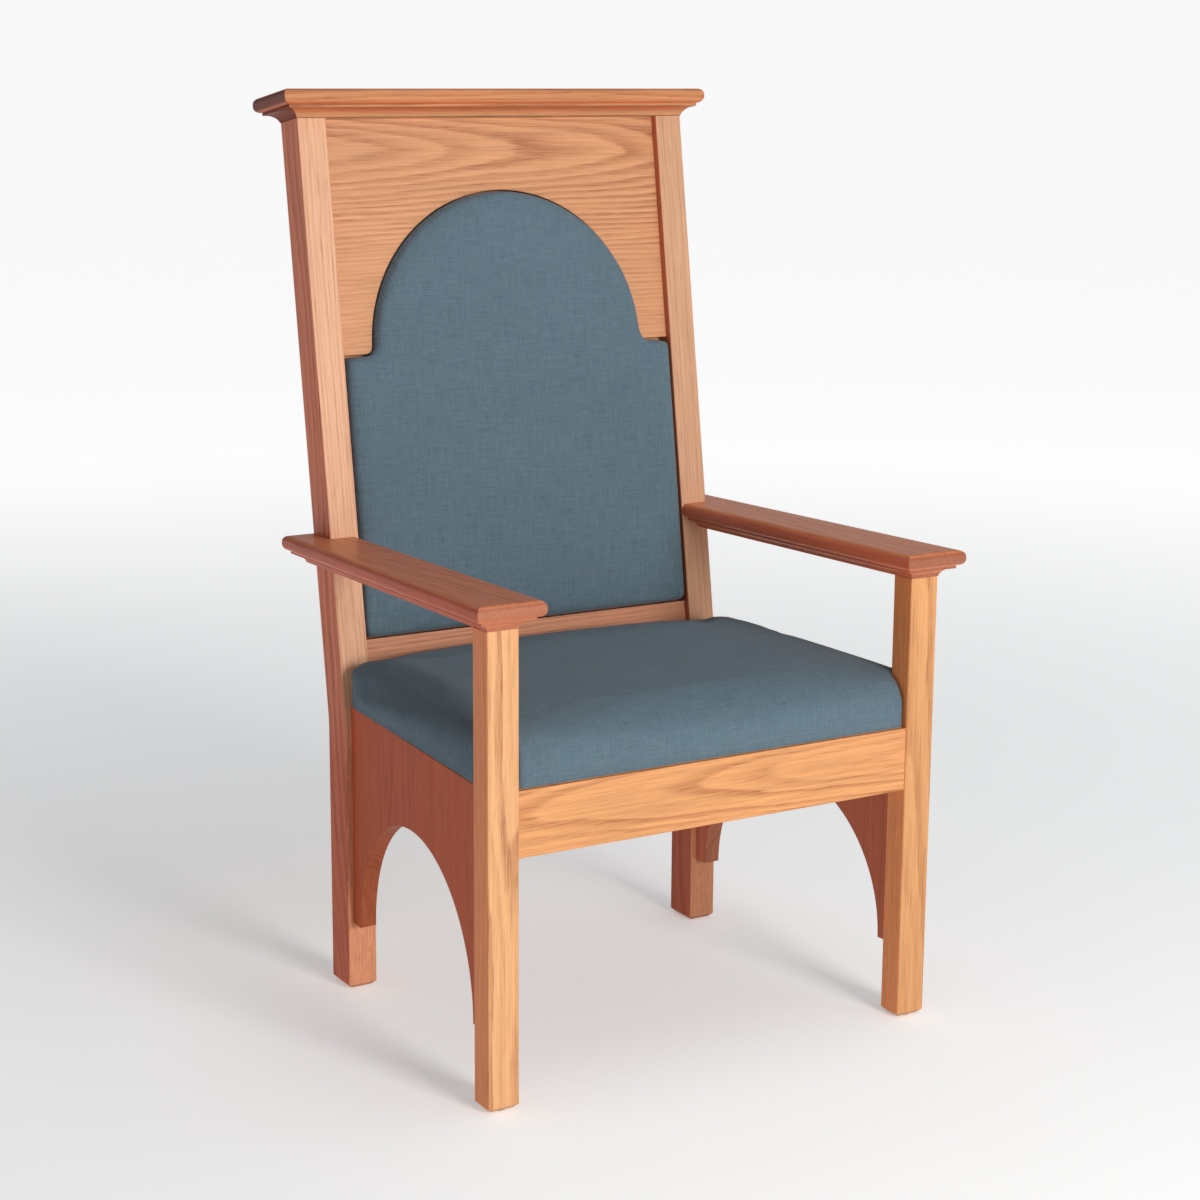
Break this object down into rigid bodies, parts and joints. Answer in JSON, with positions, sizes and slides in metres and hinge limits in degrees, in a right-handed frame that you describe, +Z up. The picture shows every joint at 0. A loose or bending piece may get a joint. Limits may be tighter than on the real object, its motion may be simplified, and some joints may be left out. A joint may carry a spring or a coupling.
{
  "type": "celebrant chair",
  "caption": "High-backed wooden armchair with a raked arched back under a moulded cornice, moulded arms, arched side panels and an upholstered seat and back pad.",
  "frame": {"origin": "on the floor, under the middle of the outline", "axes": "+X to the right as seen from the front, +Y from the front to the back, +Z up"},
  "size_m": [0.7182, 0.6928, 1.2193],
  "materials": {
    "oak": "honey oak under satin varnish",
    "hardwood": "plain planed hardwood",
    "plywood": "unfinished plywood",
    "foam": "cut polyurethane foam",
    "upholstery": "blue-grey woven cloth",
    "dust_cloth": "black non-woven cloth",
    "zinc_steel": "zinc-plated steel",
    "glide_nylon": "brown nylon"
  },
  "bodies": {
    "root": {"front_leg_left": "oak", "front_leg_right": "oak", "rear_post_left": "oak", "rear_post_right": "oak", "side_panel_left": "oak", "side_panel_right": "oak", "arm_left": "oak", "arm_right": "oak", "front_rail": "oak", "rear_seat_rail": "oak", "headboard_panel": "oak", "back_rail": "oak", "back_panel": "oak", "back_screw_plugs": "oak", "cornice_cap": "oak", "cornice_cove_front": "oak", "cornice_cove_rear": "oak", "cornice_cove_left": "oak", "cornice_cove_right": "oak", "corner_blocks": "hardwood", "arm_dowels": "hardwood", "cornice_cap_dowels": "hardwood", "cornice_nailing_strips": "hardwood", "back_pad_board": "plywood", "seat_board": "plywood", "back_pad_foam": "foam", "seat_foam": "foam", "back_pad_cover": "upholstery", "seat_cover": "upholstery", "seat_dust_cover": "dust_cloth", "arm_screws": "zinc_steel", "corner_block_screws": "zinc_steel", "seat_screws": "zinc_steel", "back_screws": "zinc_steel", "floor_glides": "glide_nylon"}
  },
  "joints": []
}
